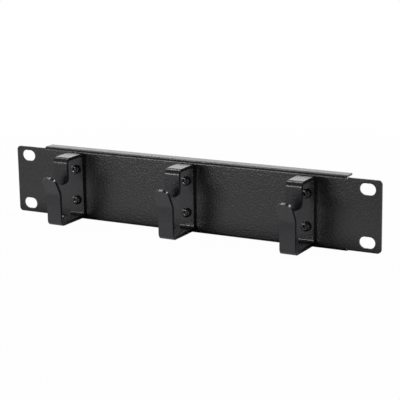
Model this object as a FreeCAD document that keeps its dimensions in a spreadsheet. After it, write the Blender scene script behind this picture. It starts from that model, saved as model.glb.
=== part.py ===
"""Cable management panel for a 10-inch rack, one unit high, with three open cable hooks.

One steel sheet makes the ears, the face and the two edges folded back behind it. Each hook is a
strip bent into an open C and held to the face by two pan head screws, each with a split lock
washer and a hexagon nut behind the panel.

Frame, in millimetres: X to the right, Y from the front into the rack, Z up. The origin is the
centre of the four rack slots, on the rear side of the ears, which lies against the rack's rails.
"""

import FreeCAD, Part
import os
import re
import Sketcher
from FreeCAD import Placement, Rotation, Vector

# Each driving dimension: its name, its value in millimetres or degrees, and what it is.
SIZES = {
    # The sheet of the panel
    "sheet_thickness": (1.2, "steel sheet of the panel"),
    "panel_width": (254.0, "across both ears"),
    "ear_height": (43.4, "height of the flat ears"),
    "ear_corner_radius": (2.5, "rounding of the ears' outer corners"),
    "body_length": (210.4, "length of the folded part, between the ears"),
    "body_height": (45.4, "over the folded edges"),
    "folded_depth": (8.6, "front of the face to the rear edge of the folded edges"),
    "fold_radius": (0.8, "inside radius of the two long folds"),
    "relief_width": (0.6, "notch beside each end of a fold"),
    "relief_corner_radius": (0.25, "rounding at the bottom of a notch"),
    # The slots that take the rack's screws
    "slot_inset": (8.7375, "end of an ear to the middle of its slots, which are 236.525 apart"),
    "slot_spacing_up": (31.75, "slot to slot, bottom to top"),
    "slot_length": (10.0, "end to end"),
    "slot_width": (7.0, "across the slot"),
    # The bent strip of a hook
    "hook_pitch": (80.5, "hook to hook"),
    "strip_width": (10.0, "width of the strip"),
    "strip_thickness": (2.0, "thickness of the strip"),
    "strip_bend_radius": (1.5, "inside radius of the four square bends"),
    "hook_height": (42.0, "over the upper and the lower arm"),
    "upper_arm_reach": (19.6, "face of the panel to the front of the short tongue"),
    "short_tongue_tip": (3.6, "height of the short tongue's lower end"),
    "short_tip_radius": (4.8, "rounding of the short tongue's end"),
    "lower_arm_reach": (28.4, "face of the panel to the front of the long tongue"),
    "lean_start": (-0.6, "height at which the long tongue turns outwards"),
    "lean_angle": (28.0, "lean of the long tongue's upper part, in degrees"),
    "lean_length": (12.6, "length of the leaning part"),
    "lean_bend_radius": (5.0, "inside radius of the bend below the lean"),
    "long_tip_radius": (4.2, "rounding of the long tongue's end"),
    # The screws, lock washers and nuts
    "screw_spacing": (20.0, "upper to lower screw of one hook"),
    "screw_middle": (0.4, "height of the point midway between them"),
    "screw_hole": (3.4, "clearance hole in the strip and the panel"),
    "screw_diameter": (3.0, "thread size"),
    "screw_length": (8.0, "under the head"),
    "head_diameter": (6.0, "pan head"),
    "head_height": (2.3, "pan head"),
    "head_flat": (3.4, "flat middle of the pan head, around the recess"),
    "head_rim_height": (1.2, "straight side of the pan head, under its crown"),
    "recess_span": (3.1, "cross recess, tip to tip"),
    "recess_wing": (0.8, "width of a wing of the cross"),
    "recess_depth": (1.3, "depth of the cross recess"),
    "washer_inside": (3.1, "split lock washer"),
    "washer_outside": (6.0, "split lock washer"),
    "washer_thickness": (0.8, "split lock washer, pressed flat"),
    "washer_gap": (0.5, "opening of the split"),
    "nut_across_flats": (5.5, "hexagon nut"),
    "nut_height": (2.4, "hexagon nut"),
    "thread_clearance": (0.03, "nut to screw, on the radius"),
}

# Hooks and screws by name, with their places as multiples of a spacing
HOOKS = {"left": -1, "centre": 0, "right": 1}
SCREWS = {"upper": 1, "lower": -1}

XY, XZ, YZ = "XY_Plane", "XZ_Plane", "YZ_Plane"
ORIGIN_POINT = (-1, 1)
ALONG_X, ALONG_Y = Vector(1, 0, 0), Vector(0, 1, 0)
NEAR = 1e-4

doc = FreeCAD.newDocument("CableManagementPanel")
sheet = doc.addObject("Spreadsheet::Sheet", "Sizes")
for row, (alias, (value, meaning)) in enumerate(SIZES.items(), start=1):
    sheet.set(f"A{row}", meaning)
    sheet.set(f"B{row}", str(value))
    sheet.setAlias(f"B{row}", alias)
doc.recompute()


def tied(formula):
    """The formula with each size's name turned into a reference to its cell."""
    return re.sub(r"[a-z_]+", lambda word: f"Sizes.{word[0]}" if word[0] in SIZES else word[0], formula)


def measure(formula):
    """The value of a formula at the sheet's present sizes."""
    return float(sheet.evalExpression(tied(formula)))


def new_body(name):
    """An empty body that is named for the piece it becomes."""
    body = doc.addObject("PartDesign::Body", name)
    body.Label = name
    return body


def place(body, across="0", back="0", up="0"):
    """Ties the body's position to the sheet."""
    for axis, formula in (("x", across), ("y", back), ("z", up)):
        body.setExpression(f"Placement.Base.{axis}", tied(formula))


def plane_of(body, role):
    """One of the body's own origin planes."""
    return next(feature for feature in body.Origin.OriginFeatures if feature.Role == role)


def new_sketch(body, name, role, offset=None):
    """An empty sketch on an origin plane, or at an offset along the plane's normal."""
    sketch = body.newObject("Sketcher::SketchObject", name)
    sketch.AttachmentSupport = (plane_of(body, role), [""])
    sketch.MapMode = "FlatFace"
    if offset:
        sketch.setExpression("AttachmentOffset.Base.z", tied(offset))
    return sketch


def tie_point(sketch, point, axis, formula):
    """Holds one coordinate of a point at a formula's value.

    A point with a coordinate of zero lies on an axis of the sketch: line -1 is level, -2 upright.
    """
    if formula == "0":
        line = -2 if axis == "X" else -1
        sketch.addConstraint(Sketcher.Constraint("PointOnObject", *point, line))
        return
    index = sketch.addConstraint(
        Sketcher.Constraint(f"Distance{axis}", *ORIGIN_POINT, *point, measure(formula))
    )
    sketch.setExpression(f"Constraints[{index}]", tied(formula))


def crown_arc(start, end):
    """The arc between two points that has its centre on the upright axis."""
    height = (end.dot(end) - start.dot(start)) / (2 * (end.y - start.y))
    centre = Vector(0, height, 0)
    outward = ((start + end) / 2 - centre).normalize()
    return Part.Arc(start, centre + outward * (start - centre).Length, end)


def draw_outline(sketch, corners, crown=None):
    """A closed outline of straight lines, each corner given by two formulas.

    A line whose ends share a formula is held level or upright. Each other coordinate is tied.
    The line with the number crown is an arc instead, with its centre on the upright axis.
    """
    spots = [Vector(measure(across), measure(up), 0) for across, up in corners]
    count = len(corners)
    sides = [Part.LineSegment(spots[i], spots[(i + 1) % count]) for i in range(count)]
    if crown is not None:
        sides[crown] = crown_arc(spots[crown], spots[crown + 1])
    lines = [sketch.addGeometry(side, False) for side in sides]
    for i in range(count):
        sketch.addConstraint(Sketcher.Constraint("Coincident", lines[i], 2, lines[(i + 1) % count], 1))
    for part, (axis, hold) in enumerate((("X", "Vertical"), ("Y", "Horizontal"))):
        for i in range(count):
            last_line = lines[i - 1]
            if i > 0 and corners[i][part] == corners[i - 1][part]:
                sketch.addConstraint(Sketcher.Constraint(hold, last_line))
            elif i == count - 1 and corners[i][part] == corners[0][part]:
                sketch.addConstraint(Sketcher.Constraint(hold, lines[i]))
            else:
                tie_point(sketch, (lines[i], 1), axis, corners[i][part])
    if crown is not None:
        tie_point(sketch, (lines[crown], 3), "X", "0")


def draw_circle(sketch, across, up, diameter):
    """A circle whose centre and diameter are tied."""
    centre = Vector(measure(across), measure(up), 0)
    circle = sketch.addGeometry(Part.Circle(centre, Vector(0, 0, 1), measure(diameter) / 2), False)
    tie_point(sketch, (circle, 3), "X", across)
    tie_point(sketch, (circle, 3), "Y", up)
    index = sketch.addConstraint(Sketcher.Constraint("Diameter", circle, measure(diameter)))
    sketch.setExpression(f"Constraints[{index}]", tied(diameter))


def draw_slot(sketch, across, up, length, width):
    """A level slot with round ends, its centre, length and width tied."""
    radius = measure(width) / 2
    half = measure(length) / 2 - radius
    middle = Vector(measure(across), measure(up), 0)
    top, bottom = Vector(0, radius, 0), Vector(0, -radius, 0)
    ends = (middle - Vector(half, 0, 0), middle + Vector(half, 0, 0))
    left = sketch.addGeometry(
        Part.Arc(ends[0] + top, ends[0] - Vector(radius, 0, 0), ends[0] + bottom), False
    )
    right = sketch.addGeometry(
        Part.Arc(ends[1] + bottom, ends[1] + Vector(radius, 0, 0), ends[1] + top), False
    )
    low = sketch.addGeometry(Part.LineSegment(ends[0] + bottom, ends[1] + bottom), False)
    high = sketch.addGeometry(Part.LineSegment(ends[1] + top, ends[0] + top), False)
    for first, first_end, second, second_end in (
        (left, 2, low, 1),
        (low, 2, right, 1),
        (right, 2, high, 1),
        (high, 2, left, 1),
    ):
        sketch.addConstraint(Sketcher.Constraint("Tangent", first, first_end, second, second_end))
    sketch.addConstraint(Sketcher.Constraint("Horizontal", low))
    sketch.addConstraint(Sketcher.Constraint("Equal", left, right))
    tie_point(sketch, (left, 3), "X", f"{across} - ({length} - {width}) / 2")
    tie_point(sketch, (right, 3), "X", f"{across} + ({length} - {width}) / 2")
    tie_point(sketch, (left, 3), "Y", up)
    index = sketch.addConstraint(Sketcher.Constraint("Radius", left, radius))
    sketch.setExpression(f"Constraints[{index}]", tied(f"{width} / 2"))


def pad(body, sketch, length, side="One side", flip=False):
    """Adds a prism on the sketch's outline."""
    feature = body.newObject("PartDesign::Pad", f"{sketch.Name}_pad")
    feature.Profile = sketch
    feature.SideType = side
    feature.Reversed = flip
    feature.setExpression("Length", tied(length))
    doc.recompute()
    return feature


def pocket(body, sketch, depth, side="One side", flip=False):
    """Cuts a prism and checks that it took material away."""
    before = body.Shape.Volume
    feature = body.newObject("PartDesign::Pocket", f"{sketch.Name}_pocket")
    feature.Profile = sketch
    feature.SideType = side
    feature.Reversed = flip
    feature.setExpression("Length", tied(depth))
    doc.recompute()
    if body.Shape.Volume > before - NEAR:
        raise RuntimeError(f"{feature.Name} cuts nothing")
    return feature


def turn(body, sketch):
    """Adds a body of revolution about the sketch's upright axis."""
    feature = body.newObject("PartDesign::Revolution", f"{sketch.Name}_turned")
    feature.Profile = sketch
    feature.ReferenceAxis = (sketch, ["V_Axis"])
    feature.Angle = 360
    doc.recompute()
    return feature


def round_edges(body, name, radius, wanted):
    """Fillets every edge of the body that the test picks out."""
    base = body.Tip
    edges = [f"Edge{i}" for i, edge in enumerate(base.Shape.Edges, start=1) if wanted(edge)]
    feature = body.newObject("PartDesign::Fillet", name)
    feature.Base = (base, edges)
    feature.setExpression("Radius", tied(radius))
    doc.recompute()
    return feature


def runs(edge, direction):
    """True for a straight edge that lies along the direction."""
    if not isinstance(edge.Curve, Part.Line):
        return False
    return edge.Curve.Direction.cross(direction).Length < NEAR


def at(edge, **coordinates):
    """True if the edge's middle has each given coordinate."""
    middle = edge.BoundBox.Center
    return all(abs(getattr(middle, axis) - value) < NEAR for axis, value in coordinates.items())


def make_front_panel():
    """The folded sheet: a channel open to the rear, with a flat slotted ear at each end."""
    body = new_body("front_panel")

    # The channel is drawn with sharp corners, and the folds are then rounded
    section = new_sketch(body, "channel_section", YZ)
    front, rear = "0 - sheet_thickness", "folded_depth - sheet_thickness"
    top, bottom = "body_height / 2", "0 - body_height / 2"
    under_top, over_bottom = "body_height / 2 - sheet_thickness", "sheet_thickness - body_height / 2"
    draw_outline(
        section,
        [
            (front, bottom),
            (rear, bottom),
            (rear, over_bottom),
            ("0", over_bottom),
            ("0", under_top),
            (rear, under_top),
            (rear, top),
            (front, top),
        ],
    )
    pad(body, section, "body_length", side="Symmetric")
    face_y, edge_z = measure(front), measure(top)
    inside_z = measure(under_top)
    round_edges(
        body,
        "folds_outside",
        "fold_radius + sheet_thickness",
        lambda edge: runs(edge, ALONG_X) and at(edge, y=face_y) and abs(edge.BoundBox.Center.z) > edge_z - NEAR,
    )
    round_edges(
        body,
        "folds_inside",
        "fold_radius",
        lambda edge: runs(edge, ALONG_X) and at(edge, y=0) and abs(edge.BoundBox.Center.z) > inside_z - NEAR,
    )

    # An ear starts at the channel's end, with a notch beside each fold
    ear = new_sketch(body, "ear", XZ)
    joined, clear, outer = "body_length / 2", "body_length / 2 + relief_width", "panel_width / 2"
    fold_top = "body_height / 2 - fold_radius - sheet_thickness"
    fold_bottom = "fold_radius + sheet_thickness - body_height / 2"
    ear_top, ear_bottom = "ear_height / 2", "0 - ear_height / 2"
    draw_outline(
        ear,
        [
            (joined, fold_bottom),
            (clear, fold_bottom),
            (clear, ear_bottom),
            (outer, ear_bottom),
            (outer, ear_top),
            (clear, ear_top),
            (clear, fold_top),
            (joined, fold_top),
        ],
    )
    ear_pad = pad(body, ear, "sheet_thickness")

    slots = new_sketch(body, "rack_slots", XZ)
    for level in ("slot_spacing_up / 2", "0 - slot_spacing_up / 2"):
        draw_slot(slots, "(panel_width / 2 - slot_inset)", level, "slot_length", "slot_width")
    slot_pocket = pocket(body, slots, "4 * sheet_thickness", side="Symmetric")

    mirrored = body.newObject("PartDesign::Mirrored", "left_ear")
    mirrored.Originals = [ear_pad, slot_pocket]
    mirrored.MirrorPlane = (plane_of(body, YZ), [""])
    body.Tip = mirrored
    doc.recompute()

    holes = new_sketch(body, "hook_screw_holes", XZ)
    for step in SCREWS.values():
        level = f"screw_middle + {step} * screw_spacing / 2"
        draw_circle(holes, f"{HOOKS['left']} * hook_pitch", level, "screw_hole")
    hole_pocket = pocket(body, holes, "4 * sheet_thickness", side="Symmetric")
    row_of_holes = body.newObject("PartDesign::LinearPattern", "hole_row")
    row_of_holes.Originals = [hole_pocket]
    row_of_holes.Direction = (holes, ["H_Axis"])
    row_of_holes.Mode = "Spacing"
    row_of_holes.Occurrences = len(HOOKS)
    row_of_holes.setExpression("Offset", tied("hook_pitch"))
    body.Tip = row_of_holes
    doc.recompute()

    corner_x, corner_z = measure(outer), measure(ear_top)
    notch_x, notch_z = measure(clear), measure(fold_top)
    round_edges(
        body,
        "ear_corners",
        "ear_corner_radius",
        lambda edge: runs(edge, ALONG_Y)
        and abs(abs(edge.BoundBox.Center.x) - corner_x) < NEAR
        and abs(abs(edge.BoundBox.Center.z) - corner_z) < NEAR,
    )
    round_edges(
        body,
        "notch_corners",
        "relief_corner_radius",
        lambda edge: runs(edge, ALONG_Y)
        and abs(abs(edge.BoundBox.Center.x) - notch_x) < NEAR
        and abs(abs(edge.BoundBox.Center.z) - notch_z) < NEAR,
    )
    return body


def make_hook(side, step):
    """A strip bent into an open C: a short tongue above, a long one that leans outwards below.

    Its own origin is on the face of the panel, at the middle of the strip.
    """
    body = new_body(f"cable_hook_{side}")
    top, bottom = "hook_height / 2", "0 - hook_height / 2"
    under_top, over_bottom = "hook_height / 2 - strip_thickness", "strip_thickness - hook_height / 2"
    plate_front = "0 - strip_thickness"
    short_front, short_back = "0 - upper_arm_reach", "strip_thickness - upper_arm_reach"
    long_front, long_back = "0 - lower_arm_reach", "strip_thickness - lower_arm_reach"
    lean_back_start = "lean_start + strip_thickness * tan(lean_angle / 2)"
    tip_y = "0 - lower_arm_reach - lean_length * sin(lean_angle)"
    tip_z = "lean_start + lean_length * cos(lean_angle)"
    tip_back_y = f"{tip_y} + strip_thickness * cos(lean_angle)"
    tip_back_z = f"{tip_z} + strip_thickness * sin(lean_angle)"

    section = new_sketch(body, f"strip_section_{side}", YZ)
    draw_outline(
        section,
        [
            (short_front, "short_tongue_tip"),
            (short_front, top),
            ("0", top),
            ("0", bottom),
            (long_front, bottom),
            (long_front, "lean_start"),
            (tip_y, tip_z),
            (tip_back_y, tip_back_z),
            (long_back, lean_back_start),
            (long_back, over_bottom),
            (plate_front, over_bottom),
            (plate_front, under_top),
            (short_back, under_top),
            (short_back, "short_tongue_tip"),
        ],
    )
    pad(body, section, "strip_width", side="Symmetric")

    def bends(*corners):
        """A test for the edges across the strip at these corners of its section."""
        spots = [{"y": measure(y), "z": measure(z)} for y, z in corners]
        return lambda edge: runs(edge, ALONG_X) and any(at(edge, **spot) for spot in spots)

    inner_corners = bends(
        (short_back, under_top), (plate_front, under_top), (plate_front, over_bottom), (long_back, over_bottom)
    )
    outer_corners = bends((short_front, top), ("0", top), ("0", bottom), (long_front, bottom))
    round_edges(body, f"bends_inside_{side}", "strip_bend_radius", inner_corners)
    round_edges(body, f"bends_outside_{side}", "strip_bend_radius + strip_thickness", outer_corners)
    round_edges(body, f"lean_inside_{side}", "lean_bend_radius", bends((long_front, "lean_start")))
    round_edges(
        body,
        f"lean_outside_{side}",
        "lean_bend_radius + strip_thickness",
        bends((long_back, lean_back_start)),
    )

    # The tongues' ends are rounded across the strip
    short_middle = {"y": measure(f"({short_front} + {short_back}) / 2"), "z": measure("short_tongue_tip")}
    long_middle = {
        "y": measure(f"({tip_y} + {tip_back_y}) / 2"),
        "z": measure(f"({tip_z} + {tip_back_z}) / 2"),
    }
    round_edges(
        body,
        f"short_tip_{side}",
        "short_tip_radius",
        lambda edge: isinstance(edge.Curve, Part.Line) and not runs(edge, ALONG_X) and at(edge, **short_middle),
    )
    round_edges(
        body,
        f"long_tip_{side}",
        "long_tip_radius",
        lambda edge: isinstance(edge.Curve, Part.Line) and not runs(edge, ALONG_X) and at(edge, **long_middle),
    )

    holes = new_sketch(body, f"strip_holes_{side}", XZ)
    for level in SCREWS.values():
        draw_circle(holes, "0", f"screw_middle + {level} * screw_spacing / 2", "screw_hole")
    pocket(body, holes, "2 * strip_thickness", flip=True)

    place(body, across=f"{step} * hook_pitch", back="0 - sheet_thickness")
    return body


def make_screw(name, across, up):
    """A pan head screw with a cross recess. Its own origin is where the head seats."""
    body = new_body(f"hook_screw_{name}")
    blank = new_sketch(body, f"screw_blank_{name}", XY)
    shank, rim = "screw_diameter / 2", "head_diameter / 2"
    draw_outline(
        blank,
        [
            ("0", "0 - head_height"),
            ("head_flat / 2", "0 - head_height"),
            (rim, "0 - head_rim_height"),
            (rim, "0"),
            (shank, "0"),
            (shank, "screw_length"),
            ("0", "screw_length"),
        ],
        crown=1,
    )
    turn(body, blank)

    recess = new_sketch(body, f"cross_recess_{name}", XZ, offset="head_height")
    far, near = "recess_span / 2", "recess_wing / 2"
    least_far, least_near = f"0 - {far}", f"0 - {near}"
    draw_outline(
        recess,
        [
            (far, least_near),
            (far, near),
            (near, near),
            (near, far),
            (least_near, far),
            (least_near, near),
            (least_far, near),
            (least_far, least_near),
            (least_near, least_near),
            (least_near, least_far),
            (near, least_far),
            (near, least_near),
        ],
    )
    pocket(body, recess, "recess_depth")
    place(body, across=across, back="0 - sheet_thickness - strip_thickness", up=up)
    return body


def make_lock_washer(name, across, up):
    """A split ring, pressed flat. Its own origin is on the rear side of the panel."""
    body = new_body(f"lock_washer_{name}")
    ring = new_sketch(body, f"washer_ring_{name}", XY)
    inner, outer = "washer_inside / 2", "washer_outside / 2"
    draw_outline(
        ring,
        [(inner, "0"), (outer, "0"), (outer, "washer_thickness"), (inner, "washer_thickness")],
    )
    turn(body, ring)
    split = new_sketch(body, f"washer_split_{name}", XZ)
    left, right = "0 - washer_gap / 2", "washer_gap / 2"
    draw_outline(
        split,
        [(left, "0"), (right, "0"), (right, "washer_outside"), (left, "washer_outside")],
    )
    pocket(body, split, "4 * washer_thickness", side="Symmetric")
    place(body, across=across, up=up)
    return body


def make_nut(name, across, up):
    """A hexagon nut. Its own origin is on the side next to the washer."""
    body = new_body(f"hex_nut_{name}")
    hexagon = new_sketch(body, f"nut_hexagon_{name}", XZ)
    flat, corner = "nut_across_flats / 2", "nut_across_flats / 2 / cos(30)"
    draw_outline(
        hexagon,
        [
            (corner, "0"),
            (f"{corner} / 2", flat),
            (f"0 - {corner} / 2", flat),
            (f"0 - {corner}", "0"),
            (f"0 - {corner} / 2", f"0 - {flat}"),
            (f"{corner} / 2", f"0 - {flat}"),
        ],
    )
    pad(body, hexagon, "nut_height", flip=True)
    bore = new_sketch(body, f"nut_bore_{name}", XZ)
    draw_circle(bore, "0", "0", "screw_diameter + 2 * thread_clearance")
    pocket(body, bore, "4 * nut_height", side="Symmetric")
    place(body, across=across, back="washer_thickness", up=up)
    return body


def make_fastener_set(side, step, level_name, level):
    """The screw, lock washer and nut at one of a hook's two holes."""
    name = f"{side}_{level_name}"
    across = f"{step} * hook_pitch"
    up = f"screw_middle + {level} * screw_spacing / 2"
    return [make(name, across, up) for make in (make_screw, make_lock_washer, make_nut)]


def check(pieces):
    """Stops unless every object computed and every piece is one valid solid."""
    for thing in doc.Objects:
        if "Invalid" in thing.State or "Error" in thing.State:
            raise RuntimeError(f"{thing.Name} did not compute: {thing.State}")
        if thing.isDerivedFrom("Sketcher::SketchObject") and thing.solve() != 0:
            raise RuntimeError(f"{thing.Name} does not solve")
    for piece in pieces:
        if piece.Shape.isNull() or not piece.Shape.isValid() or len(piece.Shape.Solids) != 1:
            raise RuntimeError(f"{piece.Label} is not one valid solid")


def main():
    """Builds every piece and writes one STEP file for each."""
    pieces = [make_front_panel()]
    for side, step in HOOKS.items():
        pieces.append(make_hook(side, step))
        for level_name, level in SCREWS.items():
            pieces.extend(make_fastener_set(side, step, level_name, level))
    doc.recompute()
    check(pieces)
    os.makedirs("parts", exist_ok=True)
    for piece in pieces:
        piece.Shape.exportStep(os.path.join("parts", f"{piece.Label}.step"))
        print(f"{piece.Label}: {piece.Shape.Volume:.2f} cubic mm")


main()
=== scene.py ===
# %% [markdown]
# # Cable management panel for a 10-inch rack
#
# A folded steel panel carries three bent-strip hooks on small screws. This lesson dresses its
# fixed construction model: rounded, powder-coated edges, screws with a real cross recess and
# thread, chamfered nuts, and a small white studio.

import math

import bpy
from mathutils import Matrix, Vector


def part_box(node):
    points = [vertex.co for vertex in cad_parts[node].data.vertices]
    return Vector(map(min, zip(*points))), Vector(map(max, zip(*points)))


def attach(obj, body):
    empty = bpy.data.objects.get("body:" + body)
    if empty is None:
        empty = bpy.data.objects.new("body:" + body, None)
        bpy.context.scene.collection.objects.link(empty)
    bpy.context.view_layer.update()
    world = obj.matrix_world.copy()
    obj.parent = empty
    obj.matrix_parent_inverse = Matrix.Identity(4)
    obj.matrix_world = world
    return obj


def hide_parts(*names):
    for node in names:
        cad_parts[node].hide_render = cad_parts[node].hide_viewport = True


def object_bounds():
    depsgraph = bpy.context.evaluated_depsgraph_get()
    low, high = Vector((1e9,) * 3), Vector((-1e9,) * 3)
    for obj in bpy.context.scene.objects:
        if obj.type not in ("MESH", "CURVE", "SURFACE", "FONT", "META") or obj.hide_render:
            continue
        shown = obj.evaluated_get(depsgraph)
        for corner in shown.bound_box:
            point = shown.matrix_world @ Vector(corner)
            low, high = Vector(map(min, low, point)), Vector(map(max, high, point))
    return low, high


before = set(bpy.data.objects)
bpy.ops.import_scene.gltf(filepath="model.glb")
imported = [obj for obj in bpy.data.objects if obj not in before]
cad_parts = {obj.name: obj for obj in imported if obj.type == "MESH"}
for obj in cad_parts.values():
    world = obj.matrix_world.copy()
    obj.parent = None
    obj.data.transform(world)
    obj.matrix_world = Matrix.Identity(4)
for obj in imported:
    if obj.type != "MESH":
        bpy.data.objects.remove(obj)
cad_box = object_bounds()
MM = 0.001
SIDES = ("left", "centre", "right")
LEVELS = ("upper", "lower")
print(len(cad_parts), "nodes, box", cad_box)

# %% [markdown]
# ## The camera
#
# A long lens looks at the panel from the right and from a little above. Its place, turn and focal
# length come from matching the ears' slots and the hooks' corners. A camera looks along its own
# -Z, so it is first tipped up to the horizon less its downward pitch, and then turned by its yaw.

# %% Camera
CAMERA_PLACE = Vector((0.4113, -0.7387, 0.2005))
CAMERA_YAW = math.radians(28.644)
CAMERA_PITCH_DOWN = math.radians(13.506)
CAMERA_ROLL = math.radians(-0.935)
CAMERA_LENS = 126.85
SENSOR = 36.0
CLIP_START = 0.05
CLIP_END = 50

camera_data = bpy.data.cameras.new("camera")
camera_data.sensor_width = SENSOR
camera_data.lens = CAMERA_LENS
camera_data.clip_start = CLIP_START
camera_data.clip_end = CLIP_END
camera = bpy.data.objects.new("camera", camera_data)
bpy.context.scene.collection.objects.link(camera)
turn = (
    Matrix.Rotation(CAMERA_YAW, 4, "Z")
    @ Matrix.Rotation(math.pi / 2 - CAMERA_PITCH_DOWN, 4, "X")
    @ Matrix.Rotation(CAMERA_ROLL, 4, "Z")
)
camera.matrix_world = Matrix.Translation(CAMERA_PLACE) @ turn
bpy.context.scene.camera = camera
print("camera", tuple(round(v, 3) for v in camera.location), "lens", CAMERA_LENS)

# %% [markdown]
# ## Helpers for colours, nodes and selection
#
# A colour is written as the hex value that it shows, and one function turns it to the linear
# value that a shader works with. Another adds a shader node with its settings and links.

# %% Colour and node helpers
def linear(hex_colour):
    """The linear RGBA of an sRGB hex colour."""
    channels = [int(hex_colour[i : i + 2], 16) / 255 for i in (1, 3, 5)]
    return [c / 12.92 if c <= 0.04045 else ((c + 0.055) / 1.055) ** 2.4 for c in channels] + [1.0]


def add_node(tree, kind, settings=None, **inputs):
    """Adds a node. An input is a value or a socket to link.

    An input is named, with _ for a space, or counted, as _0 or _1.
    """
    node = tree.nodes.new(kind)
    for name, value in (settings or {}).items():
        setattr(node, name, value)
    for name, value in inputs.items():
        key = int(name[1:]) if name[1:].isdigit() else name.replace("_", " ")
        socket = node.inputs[key]
        if isinstance(value, bpy.types.NodeSocket):
            tree.links.new(value, socket)
        else:
            socket.default_value = value
    return node


def new_material(name):
    """An empty node material and its tree."""
    material = bpy.data.materials.new(name)
    material.use_nodes = True
    material.node_tree.nodes.clear()
    return material, material.node_tree


def finish_material(tree, shader):
    """Leads a shader to the output of its material."""
    add_node(tree, "ShaderNodeOutputMaterial", Surface=shader.outputs[0])


# %% Selection helpers
def deselect():
    """Leaves object mode with nothing selected."""
    if bpy.context.object and bpy.context.object.mode != "OBJECT":
        bpy.ops.object.mode_set(mode="OBJECT")
    bpy.ops.object.select_all(action="DESELECT")


def make_active(piece):
    """Selects one piece alone."""
    deselect()
    piece.select_set(True)
    bpy.context.view_layer.objects.active = piece


def apply_modifier(piece, name, kind, **settings):
    """Adds a modifier with these settings and applies it."""
    make_active(piece)
    modifier = piece.modifiers.new(name, kind)
    for key, value in settings.items():
        setattr(modifier, key, value)
    bpy.ops.object.modifier_apply(modifier=modifier.name)


# %% [markdown]
# ## The powder coat
#
# The panel and the hooks are steel with a black powder coat. The powder melts into a skin about
# 0.1 mm thick whose surface keeps a fine pebble, so it shines softly and breaks up highlights.
# As a mesh the pebble would take millions of faces, so it is a bump: a noise of about 0.6 mm over
# a wider grain of 1.3 mm. The panel's coat is the more pebbled. The hooks' coat is smoother and
# glossier, and a little bluer.

# %% Powder coat
PEBBLE = 0.6 * MM
GRAIN = 1.3 * MM
PEBBLE_SHARE = 1 / 4
COAT_IOR = 1.5


def powder_coat(name, colour, grain_depth, roughness):
    """A coat whose wider grain has this depth, and whose pebble has a share of it."""
    material, tree = new_material(name)
    place = add_node(tree, "ShaderNodeTexCoord").outputs["Object"]
    pebble = add_node(tree, "ShaderNodeTexNoise", Vector=place, Scale=1 / PEBBLE, Detail=1.0)
    grain = add_node(tree, "ShaderNodeTexNoise", Vector=place, Scale=1 / GRAIN, Detail=1.0)
    fine = add_node(
        tree,
        "ShaderNodeBump",
        Strength=1.0,
        Distance=grain_depth * PEBBLE_SHARE,
        Height=pebble.outputs["Fac"],
    )
    both = add_node(
        tree,
        "ShaderNodeBump",
        Strength=1.0,
        Distance=grain_depth,
        Height=grain.outputs["Fac"],
        Normal=fine.outputs[0],
    )
    shader = add_node(
        tree,
        "ShaderNodeBsdfPrincipled",
        Base_Color=linear(colour),
        Roughness=roughness,
        IOR=COAT_IOR,
        Normal=both.outputs[0],
    )
    finish_material(tree, shader)
    return material


panel_coat = powder_coat("pebbled_black_powder_coat", "#19191b", 0.12 * MM, 0.29)
hook_coat = powder_coat("smooth_black_powder_coat", "#1e1d23", 0.08 * MM, 0.25)
print("materials", panel_coat.name, hook_coat.name)

# %% [markdown]
# ## Black screws and zinc
#
# The screws are dipped in a smooth black finish, glossier than the coat. The nuts and washers
# behind the panel are steel with a thin bright zinc plate, faintly mottled. The marks that tools
# leave are too fine to be modelled, so a faint bump stands for them on both.

# %% Screw and zinc finishes
TOOL_MARK_DEPTH = 0.02 * MM
SCREW_GRAIN = 0.4 * MM
ZINC_MOTTLE = 0.8 * MM


def black_screw_finish():
    """A smooth, glossy black."""
    material, tree = new_material("glossy_black_screw")
    place = add_node(tree, "ShaderNodeTexCoord").outputs["Object"]
    grain = add_node(tree, "ShaderNodeTexNoise", Vector=place, Scale=1 / SCREW_GRAIN, Detail=2.0)
    bump = add_node(
        tree,
        "ShaderNodeBump",
        Strength=0.25,
        Distance=TOOL_MARK_DEPTH,
        Height=grain.outputs["Fac"],
    )
    shader = add_node(
        tree,
        "ShaderNodeBsdfPrincipled",
        Base_Color=linear("#151516"),
        Roughness=0.15,
        IOR=COAT_IOR,
        Normal=bump.outputs[0],
    )
    finish_material(tree, shader)
    return material


def zinc_finish():
    """A bright plate, mottled between two greys."""
    material, tree = new_material("bright_zinc_plate")
    place = add_node(tree, "ShaderNodeTexCoord").outputs["Object"]
    mottle = add_node(tree, "ShaderNodeTexNoise", Vector=place, Scale=1 / ZINC_MOTTLE, Detail=3.0)
    tint = add_node(
        tree,
        "ShaderNodeMix",
        {"data_type": "RGBA"},
        Factor=mottle.outputs["Fac"],
        _6=linear("#b9bcc2"),
        _7=linear("#d6d8dc"),
    )
    bump = add_node(
        tree,
        "ShaderNodeBump",
        Strength=0.3,
        Distance=TOOL_MARK_DEPTH,
        Height=mottle.outputs["Fac"],
    )
    shader = add_node(
        tree,
        "ShaderNodeBsdfPrincipled",
        Base_Color=tint.outputs[2],
        Metallic=1.0,
        Roughness=0.32,
        Normal=bump.outputs[0],
    )
    finish_material(tree, shader)
    return material


screw_finish = black_screw_finish()
zinc = zinc_finish()
print("materials", screw_finish.name, zinc.name)

# %% [markdown]
# ## Rounded edges for the sheet and the strips
#
# A coat rounds every cut edge a little, and those edges catch the light. The construction
# model has sharp ones, and its mesh is loose triangles, so a copy is merged, its flat faces are
# joined up, and a bevel rounds what is still sharp. The copy then stands for the original.

# %% Copy a node with rounded edges
MERGE_DISTANCE = 0.002 * MM
FLAT_ANGLE = math.radians(0.5)
SHARP_ANGLE = math.radians(30)
COPY_SMOOTH_ANGLE = math.radians(40)


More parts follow.
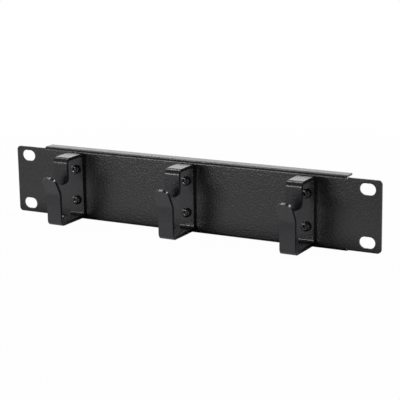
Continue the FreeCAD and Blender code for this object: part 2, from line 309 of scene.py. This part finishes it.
def rounded_copy(node, name, radius):
    """A merged copy of a node with its sharp edges rounded."""
    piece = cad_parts[node].copy()
    piece.data = piece.data.copy()
    piece.name = name
    piece.parent = None
    for key in list(piece.keys()):
        del piece[key]
    bpy.context.scene.collection.objects.link(piece)
    make_active(piece)
    bpy.ops.object.mode_set(mode="EDIT")
    bpy.ops.mesh.select_all(action="SELECT")
    bpy.ops.mesh.remove_doubles(threshold=MERGE_DISTANCE)
    bpy.ops.mesh.dissolve_limited(angle_limit=FLAT_ANGLE)
    bpy.ops.object.mode_set(mode="OBJECT")
    apply_modifier(
        piece,
        "rounded_edges",
        "BEVEL",
        width=radius,
        segments=3,
        limit_method="ANGLE",
        angle_limit=SHARP_ANGLE,
        harden_normals=False,
    )
    make_active(piece)
    bpy.ops.object.shade_smooth_by_angle(angle=COPY_SMOOTH_ANGLE)
    apply_modifier(piece, "even_shading", "WEIGHTED_NORMAL", keep_sharp=True)
    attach(piece, "root")
    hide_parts(node)
    return piece


def dress(piece, material):
    """Gives a piece one finish."""
    piece.data.materials.clear()
    piece.data.materials.append(material)


SHEET_EDGE = 0.22 * MM
STRIP_EDGE = 0.3 * MM

panel = rounded_copy("front_panel", "panel_sheet", SHEET_EDGE)
dress(panel, panel_coat)
for side in SIDES:
    hook = rounded_copy(f"cable_hook_{side}", f"hook_strip_{side}", STRIP_EDGE)
    dress(hook, hook_coat)
print("panel", len(panel.data.polygons), "faces, hook", len(hook.data.polygons), "faces")

# %% [markdown]
# ## Helpers for modelling in edit mode
#
# A new piece starts as a primitive along Z. Its caps are picked by their normal and drawn out,
# and it is turned into place at the end.

# %% Edit mode helpers
SMALL_PART_SMOOTH_ANGLE = math.radians(35)
CAP_NORMAL = 0.9


def pick_faces(piece, wanted):
    """Selects the faces whose centre and normal pass a test, and stays in edit mode."""
    bpy.ops.object.mode_set(mode="EDIT")
    bpy.ops.mesh.select_mode(type="FACE")
    bpy.ops.mesh.select_all(action="DESELECT")
    bpy.ops.object.mode_set(mode="OBJECT")
    for face in piece.data.polygons:
        face.select = wanted(face.center, face.normal)
    bpy.ops.object.mode_set(mode="EDIT")


def draw_cap(rise, scale):
    """Extrudes the selected cap along Z and sizes it about the axis."""
    bpy.ops.mesh.extrude_region_move(TRANSFORM_OT_translate={"value": (0, 0, rise)})
    bpy.ops.transform.resize(value=(scale, scale, 1), center_override=(0, 0, 0))


def cylinder(name, radius, low, high, sides):
    """An upright cylinder from one height to another, with its place in its mesh."""
    deselect()
    bpy.ops.mesh.primitive_cylinder_add(
        vertices=sides, radius=radius, depth=high - low, location=(0, 0, (low + high) / 2)
    )
    piece = bpy.context.object
    piece.name = name
    bpy.ops.object.transform_apply(location=True, rotation=True, scale=True)
    return piece


def cut(piece, tool, operation="DIFFERENCE"):
    """Cuts a piece with a tool, or keeps what they share, and deletes the tool."""
    apply_modifier(piece, "cut", "BOOLEAN", operation=operation, object=tool, solver="EXACT")
    bpy.data.objects.remove(tool, do_unlink=True)


def soften(piece, radius):
    """Bevels the sharp edges and smooths the rest."""
    apply_modifier(
        piece,
        "softened",
        "BEVEL",
        width=radius,
        segments=2,
        limit_method="ANGLE",
        angle_limit=SHARP_ANGLE,
    )
    make_active(piece)
    bpy.ops.object.shade_smooth_by_angle(angle=SMALL_PART_SMOOTH_ANGLE)


def stand_in(master, name, node, seat):
    """A copy of an upright master, laid with its Z towards the front, that replaces a node.

    Its height zero comes to the depth given as the seat.
    """
    piece = master.copy()
    piece.data = master.data.copy()
    piece.name = name
    bpy.context.scene.collection.objects.link(piece)
    low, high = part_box(node)
    place = Vector(((low[0] + high[0]) / 2, seat, (low[2] + high[2]) / 2))
    piece.data.transform(Matrix.Translation(place) @ Matrix.Rotation(math.pi / 2, 4, "X"))
    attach(piece, "root")
    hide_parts(node)
    return piece


# %% [markdown]
# ## The screws
#
# Each hook is held by two M3 pan head screws. Such a head is cold formed: a short straight rim,
# a crown that curves to a small flat, and a cross recess whose wings taper towards the bottom.
# So the crown is drawn up from a disc in steps, and two tapered bars cut the recess. The thread
# is rolled to a pitch of 0.5 mm. Stacked rings would not climb, so it is swept as a true helix.

# %% Head of the screw
screw_low, screw_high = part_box("hook_screw_left_upper")
SHEET = 1.2 * MM
STRIP = 2.0 * MM
SEAT = -SHEET - STRIP
HEAD_RADIUS = (screw_high[0] - screw_low[0]) / 2
HEAD_HEIGHT = SEAT - screw_low[1]
RIM = 1.0 * MM
FLAT_RADIUS = 1.6 * MM
CROWN_STEPS = 9
RECESS_SPAN = 3.1 * MM
RECESS_WING = 0.8 * MM
RECESS_DEPTH = 1.3 * MM
RECESS_OVERLAP = 0.1 * MM
RECESS_TAPER = (0.45, 0.7, 1)
RECESS_TURN = math.radians(20)
HEAD_EDGE = 0.07 * MM


def screw_head():
    """The rim and crown, drawn up from a disc in steps along a quarter ellipse."""
    head = cylinder("screw_head", HEAD_RADIUS, 0, RIM, sides=48)
    pick_faces(head, lambda centre, normal: normal.z > CAP_NORMAL)
    radius, height = HEAD_RADIUS, RIM
    for step in range(1, CROWN_STEPS + 1):
        angle = math.pi / 2 * step / CROWN_STEPS
        next_radius = FLAT_RADIUS + (HEAD_RADIUS - FLAT_RADIUS) * math.cos(angle)
        next_height = RIM + (HEAD_HEIGHT - RIM) * math.sin(angle)
        draw_cap(next_height - height, next_radius / radius)
        radius, height = next_radius, next_height
    bpy.ops.object.mode_set(mode="OBJECT")
    return head


def recess_wing(turn_angle):
    """One bar of the cross: a block that narrows towards its lower end."""
    deselect()
    middle = HEAD_HEIGHT - RECESS_DEPTH / 2 + RECESS_OVERLAP
    bpy.ops.mesh.primitive_cube_add(size=1, location=(0, 0, middle))
    bar = bpy.context.object
    bar.scale = (RECESS_SPAN, RECESS_WING, RECESS_DEPTH + 2 * RECESS_OVERLAP)
    bpy.ops.object.transform_apply(location=True, rotation=True, scale=True)
    pick_faces(bar, lambda centre, normal: normal.z < -CAP_NORMAL)
    bpy.ops.transform.resize(value=RECESS_TAPER, center_override=(0, 0, 0))
    bpy.ops.object.mode_set(mode="OBJECT")
    bar.data.transform(Matrix.Rotation(turn_angle, 4, "Z"))
    return bar


screw = screw_head()
for quarter in range(2):
    cut(screw, recess_wing(RECESS_TURN + quarter * math.pi / 2))
soften(screw, HEAD_EDGE)
print("screw head", len(screw.data.polygons), "faces")

# %% Thread of the screw
THREAD_RADIUS = 1.5 * MM
PITCH = 0.5 * MM
THREAD_DEPTH = 0.3 * MM
RIDGE_RADIUS = THREAD_DEPTH * 0.8
SHANK_END = SEAT - screw_high[1]
SHANK_EDGE = 0.15 * MM
THREAD_START = SHANK_END + 0.7 * PITCH
THREAD_TURNS = 11
THREAD_STEPS = 28


def thread():
    """A three-sided ridge swept along the shank by a screw modifier, and closed at its ends."""
    deselect()
    bpy.ops.mesh.primitive_circle_add(
        vertices=3, radius=RIDGE_RADIUS, rotation=(math.pi / 2, math.pi / 2, 0)
    )
    ridge = bpy.context.object
    bpy.ops.object.transform_apply(location=True, rotation=True, scale=True)
    crest = max(corner.co.x for corner in ridge.data.vertices)
    ridge.data.transform(Matrix.Translation((THREAD_RADIUS - crest, 0, THREAD_START)))
    apply_modifier(
        ridge,
        "helix",
        "SCREW",
        axis="Z",
        angle=2 * math.pi,
        screw_offset=PITCH,
        iterations=THREAD_TURNS,
        steps=THREAD_STEPS,
    )
    bpy.ops.object.mode_set(mode="EDIT")
    bpy.ops.mesh.select_all(action="SELECT")
    bpy.ops.mesh.fill_holes(sides=3)
    bpy.ops.mesh.normals_make_consistent(inside=False)
    bpy.ops.object.mode_set(mode="OBJECT")
    return ridge


ridge = thread()
shank = cylinder("shank", THREAD_RADIUS - THREAD_DEPTH, SHANK_END, 0, sides=32)
soften(shank, SHANK_EDGE)
deselect()
for piece in (ridge, shank, screw):
    piece.select_set(True)
bpy.context.view_layer.objects.active = screw
bpy.ops.object.join()
for side in SIDES:
    for level in LEVELS:
        piece = stand_in(screw, f"pan_screw_{side}_{level}", f"hook_screw_{side}_{level}", SEAT)
        dress(piece, screw_finish)
print("screw", len(screw.data.polygons), "faces")
bpy.data.objects.remove(screw, do_unlink=True)

# %% [markdown]
# ## The nuts
#
# A pressed nut is a hexagon whose corners are turned off at both ends by a shallow cone, which
# leaves an arc on every flat. Sharing a hexagon with a turned blank gives the same arcs.

# %% Nuts
nut_low, nut_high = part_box("hex_nut_left_upper")
NUT_ACROSS_FLATS = nut_high[2] - nut_low[2]
NUT_ACROSS_CORNERS = nut_high[0] - nut_low[0]
NUT_HEIGHT = nut_high[1] - nut_low[1]
NUT_EDGE = 0.06 * MM
BORE_RADIUS = 1.53 * MM
BORE_OVERLAP = 1 * MM
CONE_RADIUS = 0.94 * NUT_ACROSS_FLATS / 2
CONE_HEIGHT = 0.33 * MM
BLANK_RADIUS = NUT_ACROSS_CORNERS / 2 * 1.01


def turned_blank():
    """A disc whose two ends are drawn out to a shallow cone."""
    low, high = CONE_HEIGHT, NUT_HEIGHT - CONE_HEIGHT
    blank = cylinder("turned_blank", BLANK_RADIUS, low, high, sides=64)
    for up in (1, -1):
        pick_faces(blank, lambda centre, normal: normal.z * up > CAP_NORMAL)
        draw_cap(up * CONE_HEIGHT, CONE_RADIUS / BLANK_RADIUS)
        bpy.ops.object.mode_set(mode="OBJECT")
    return blank


nut = cylinder("nut", NUT_ACROSS_CORNERS / 2, 0, NUT_HEIGHT, sides=6)
nut.data.transform(Matrix.Rotation(math.pi / 6, 4, "Z"))
cut(nut, turned_blank(), "INTERSECT")
cut(nut, cylinder("bore", BORE_RADIUS, -BORE_OVERLAP, NUT_HEIGHT + BORE_OVERLAP, sides=48))
soften(nut, NUT_EDGE)
for side in SIDES:
    for level in LEVELS:
        piece = stand_in(nut, f"nut_{side}_{level}", f"hex_nut_{side}_{level}", nut_high[1])
        dress(piece, zinc)
print("nut", len(nut.data.polygons), "faces")
bpy.data.objects.remove(nut, do_unlink=True)

# %% [markdown]
# ## The lock washers
#
# A split washer is a coil of square wire cut from a spring and pressed flat, so its edges are
# barely broken. A fine bevel on the construction model is enough.

# %% Lock washers
WASHER_EDGE = 0.07 * MM

for side in SIDES:
    for level in LEVELS:
        spot = f"{side}_{level}"
        piece = rounded_copy(f"lock_washer_{spot}", f"split_washer_{spot}", WASHER_EDGE)
        dress(piece, zinc)
print("washer", len(piece.data.polygons), "faces")

# %% [markdown]
# ## The studio
#
# The panel stands on a seamless white table, which keeps only a trace of its shadow. A dark,
# glossy sheet shows what it mirrors more than its own colour. So the camera sees the table white
# all over, but a reflection sees it white behind the panel, light grey in a band just ahead of
# the hooks, and only as bright as it is lit elsewhere.

# %% Table
TABLE_SIZE = 12.0
SHADOW_LEVELS = (0.98, 1.0)
SHADOW_REACH = (0.2, 0.5)
BAND_AHEAD = 0.055
BAND_REACH = (0.02, 0.045)
BAND_LEVELS = (0.7, 0.0)
BEHIND_REACH = (0.0, 0.02)


def seen_ray(tree):
    """One where a ray comes from the camera, a reflection or a transmission, and zero elsewhere."""
    path = add_node(tree, "ShaderNodeLightPath")
    first = add_node(
        tree,
        "ShaderNodeMath",
        {"operation": "MAXIMUM"},
        _0=path.outputs["Is Camera Ray"],
        _1=path.outputs["Is Glossy Ray"],
    )
    both = add_node(
        tree,
        "ShaderNodeMath",
        {"operation": "MAXIMUM"},
        _0=first.outputs[0],
        _1=path.outputs["Is Transmission Ray"],
    )
    return both.outputs[0]


def fade(tree, value, reach, levels):
    """A smooth change from one level to another while a value crosses a reach."""
    change = add_node(
        tree,
        "ShaderNodeMapRange",
        {"interpolation_type": "SMOOTHSTEP"},
        Value=value,
        From_Min=reach[0],
        From_Max=reach[1],
        To_Min=levels[0],
        To_Max=levels[1],
    )
    return change.outputs[0]


def table_finish():
    """Matt white paint that shines white to the camera and where a reflection may see it so."""
    material, tree = new_material("white_table")
    place = add_node(tree, "ShaderNodeTexCoord").outputs["Object"]
    reach = add_node(tree, "ShaderNodeVectorMath", {"operation": "LENGTH"}, _0=place)
    path = add_node(tree, "ShaderNodeLightPath")
    seen = fade(tree, reach.outputs["Value"], SHADOW_REACH, SHADOW_LEVELS)
    depth = add_node(tree, "ShaderNodeSeparateXYZ", Vector=place).outputs["Y"]
    offset = add_node(tree, "ShaderNodeMath", {"operation": "ADD"}, _0=depth, _1=BAND_AHEAD)
    aside = add_node(tree, "ShaderNodeMath", {"operation": "ABSOLUTE"}, _0=offset.outputs[0])
    band = fade(tree, aside.outputs[0], BAND_REACH, BAND_LEVELS)
    behind = fade(tree, depth, BEHIND_REACH, (0.0, 1.0))
    mirrored = add_node(tree, "ShaderNodeMath", {"operation": "MAXIMUM"}, _0=band, _1=behind)
    either = add_node(
        tree,
        "ShaderNodeMix",
        Factor=path.outputs["Is Camera Ray"],
        _2=mirrored.outputs[0],
        _3=seen,
    )
    share = add_node(
        tree, "ShaderNodeMath", {"operation": "MULTIPLY"}, _0=either.outputs[0], _1=seen_ray(tree)
    )
    matt = add_node(tree, "ShaderNodeBsdfDiffuse", Color=linear("#f2f2f2"))
    white = add_node(tree, "ShaderNodeEmission", Color=(1, 1, 1, 1), Strength=1.0)
    shader = add_node(
        tree, "ShaderNodeMixShader", Fac=share.outputs[0], _1=matt.outputs[0], _2=white.outputs[0]
    )
    finish_material(tree, shader)
    return material


deselect()
bpy.ops.mesh.primitive_plane_add(size=TABLE_SIZE, location=(0, 0, cad_box[0][2]))
table = bpy.context.object
table.name = "table"
table.data.materials.append(table_finish())
print("table", table.name, "size", TABLE_SIZE)

# %% [markdown]
# ## The world and the lamps
#
# The sky is white to the camera. A reflection sees it white near the horizon and darker overhead,
# which draws a dark line along the folded edge. It lights the pieces only faintly, so that the
# lamps shape them. The key is a small soft lamp low at the left front. The others light the rims
# of the hooks from above and behind, and their left sides.

# %% World
WORLD_FILL = 0.06
CEILING = 0.25
CEILING_RISE = (0.24, 0.4)


def studio_world():
    """A white sky that fills little, and is darker overhead in reflections."""
    world = bpy.data.worlds.new("studio")
    world.use_nodes = True
    tree = world.node_tree
    tree.nodes.clear()
    direction = add_node(tree, "ShaderNodeTexCoord").outputs["Generated"]
    rise = add_node(tree, "ShaderNodeSeparateXYZ", Vector=direction).outputs["Z"]
    mirrored = fade(tree, rise, CEILING_RISE, (1.0, CEILING))
    looked_at = add_node(tree, "ShaderNodeLightPath").outputs["Is Camera Ray"]
    shown = add_node(
        tree, "ShaderNodeMath", {"operation": "MAXIMUM"}, _0=mirrored, _1=looked_at
    )
    strength = add_node(
        tree,
        "ShaderNodeMapRange",
        Value=seen_ray(tree),
        To_Min=WORLD_FILL,
        To_Max=shown.outputs[0],
    )
    sky = add_node(
        tree, "ShaderNodeBackground", Color=(1, 1, 1, 1), Strength=strength.outputs[0]
    )
    add_node(tree, "ShaderNodeOutputWorld", Surface=sky.outputs[0])
    return world


bpy.context.scene.world = studio_world()
print("world fill", WORLD_FILL, "ceiling", CEILING)


# %% Lamps
def softbox(name, azimuth, elevation, distance, width, height, power):
    """A soft lamp aimed at the middle of the panel.

    Azimuth is counted from the front towards the left, in degrees. Sizes are in metres.
    """
    lamp_data = bpy.data.lights.new(name, "AREA")
    lamp_data.shape = "RECTANGLE"
    lamp_data.size = width
    lamp_data.size_y = height
    lamp_data.energy = power
    lamp = bpy.data.objects.new(name, lamp_data)
    bpy.context.scene.collection.objects.link(lamp)
    around, up = math.radians(azimuth), math.radians(elevation)
    level = math.cos(up)
    toward = Vector((-math.sin(around) * level, -math.cos(around) * level, math.sin(up)))
    aim = toward.to_track_quat("Z", "Y").to_matrix().to_4x4()
    lamp.matrix_world = Matrix.Translation(toward * distance) @ aim
    return lamp


softbox("key_lamp", azimuth=26, elevation=5, distance=0.8, width=0.3, height=0.1, power=1.6)
softbox("top_lamp", azimuth=118, elevation=60, distance=1.2, width=0.4, height=0.4, power=3)
softbox("back_lamp", azimuth=-125, elevation=42, distance=1.2, width=0.3, height=0.3, power=5)
softbox("side_lamp", azimuth=82, elevation=22, distance=1.2, width=0.3, height=0.5, power=3)
softbox("rim_lamp", azimuth=152, elevation=14, distance=1.4, width=1.2, height=0.4, power=1.6)

# %% [markdown]
# ## The picture
#
# The Standard view shows each colour as it was chosen, and white as white.

# %% Picture settings
bpy.context.scene.view_settings.view_transform = "Standard"
